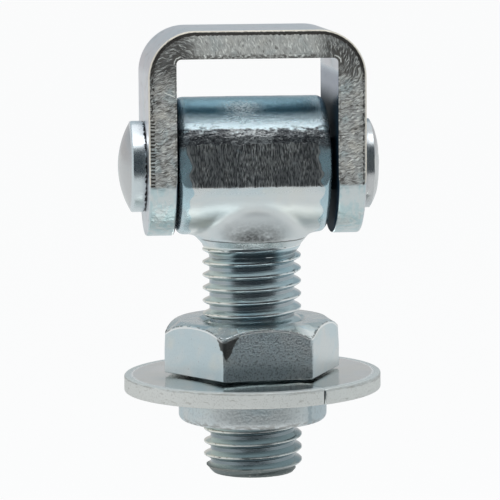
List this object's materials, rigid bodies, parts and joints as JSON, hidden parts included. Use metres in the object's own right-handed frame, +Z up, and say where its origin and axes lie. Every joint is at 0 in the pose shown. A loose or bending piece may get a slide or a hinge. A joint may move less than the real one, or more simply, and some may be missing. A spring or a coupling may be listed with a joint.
{
  "type": "adjustable gate hinge",
  "caption": "Bent flat-bar yoke with a riveted pin, carrying a forged eye on a threaded stud with a thin hexagon lock nut, a split washer and a round weld-in threaded bush.",
  "frame": {"origin": "middle of the top face of the yoke's bridge, the face that is welded on", "axes": "+Z up along the stud's axis and out of the bridge, X along the pivot pin with the pin's made head at -X, -Y the front of the hinge"},
  "size_m": [0.0404, 0.0398, 0.0689],
  "materials": {
    "zinc_flat_bar": "bright zinc plate on bent flat bar, with rough sheared edges",
    "zinc_rivet": "bright zinc plate on smooth heads",
    "zinc_forging": "bright zinc plate on a forged surface and a rolled thread",
    "zinc_nut": "bright zinc plate, finely pitted on the flats",
    "zinc_washer": "glossy zinc plate on the faces, dull on the rim",
    "zinc_bush": "bright zinc plate on turned steel"
  },
  "bodies": {
    "yoke": {"yoke": "zinc_flat_bar", "pivot_pin": "zinc_rivet"},
    "eye": {"eye_stud": "zinc_forging"},
    "washer": {"split_washer": "zinc_washer"},
    "bush": {"threaded_bush": "zinc_bush"},
    "nut": {"lock_nut": "zinc_nut"}
  },
  "joints": [
    {"name": "eye_swing", "type": "hinge", "parent": "yoke", "child": "eye", "pos_m": [0, 0, -0.02115], "axis": [1, 0, 0], "range_deg": [-110, 110]},
    {"name": "washer_travel", "type": "slide", "parent": "eye", "child": "washer", "axis": [0, 0, 1], "range_m": [-0.0065, 0.004]},
    {"name": "bush_turn", "type": "hinge", "parent": "washer", "child": "bush", "pos_m": [0, 0, -0.057], "axis": [0, 0, 1], "range_deg": [-1170, 720]},
    {"name": "nut_travel", "type": "slide", "parent": "washer", "child": "nut", "axis": [0, 0, 1], "range_m": [0, 0.0035]}
  ],
  "couplings": [
    {"joint": "bush_turn", "follows": "washer_travel", "rad_per_m": 3141.6}
  ]
}
